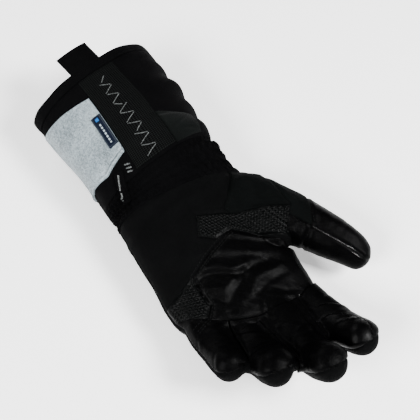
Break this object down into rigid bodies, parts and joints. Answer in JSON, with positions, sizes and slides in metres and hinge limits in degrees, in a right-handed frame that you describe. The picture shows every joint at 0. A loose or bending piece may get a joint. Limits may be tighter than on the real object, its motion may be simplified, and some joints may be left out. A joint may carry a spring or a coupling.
{
  "type": "heated motorcycle glove",
  "caption": "Left-hand padded winter gauntlet glove with a leather palm, grip patches and a long cuff, lying palm up.",
  "frame": {"origin": "on the surface below the middle of the glove's box", "axes": "+X from the cuff's opening to the fingertips, +Y to the thumb, +Z out of the palm"},
  "size_m": [0.3626, 0.1726, 0.0734],
  "materials": {
    "webbing": "black woven webbing and ripstop, matt",
    "cuff_shell": "black padded nylon cloth, matt",
    "hand_shell": "black softshell cloth, fine weave",
    "stretch_cloth": "black brushed stretch cloth",
    "reflective_cloth": "silver grey reflective cloth, fine grain",
    "woven_label": "blue woven label with white bars",
    "smooth_leather": "black goat leather, soft gloss",
    "grip_leather": "black leather with pressed grip dots"
  },
  "bodies": {
    "root": {"cuff_hem": "webbing", "pull_tab": "webbing", "gauntlet_cuff": "cuff_shell", "wrist_band": "cuff_shell", "reflective_panel": "reflective_cloth", "print_strip": "webbing", "stretch_panel": "stretch_cloth", "woven_tag": "woven_label", "wrist_strap": "webbing", "hand_back": "hand_shell", "palm_leather": "smooth_leather", "thumb_grip_patch": "grip_leather", "heel_grip_patch": "grip_leather", "palm_heel": "hand_shell", "index_front": "smooth_leather", "index_back": "hand_shell", "middle_front": "smooth_leather", "middle_back": "hand_shell", "ring_front": "smooth_leather", "ring_back": "hand_shell", "little_front": "smooth_leather", "little_back": "hand_shell", "thumb_front": "smooth_leather", "thumb_back": "hand_shell", "index_touch_patch": "smooth_leather"}
  },
  "joints": []
}
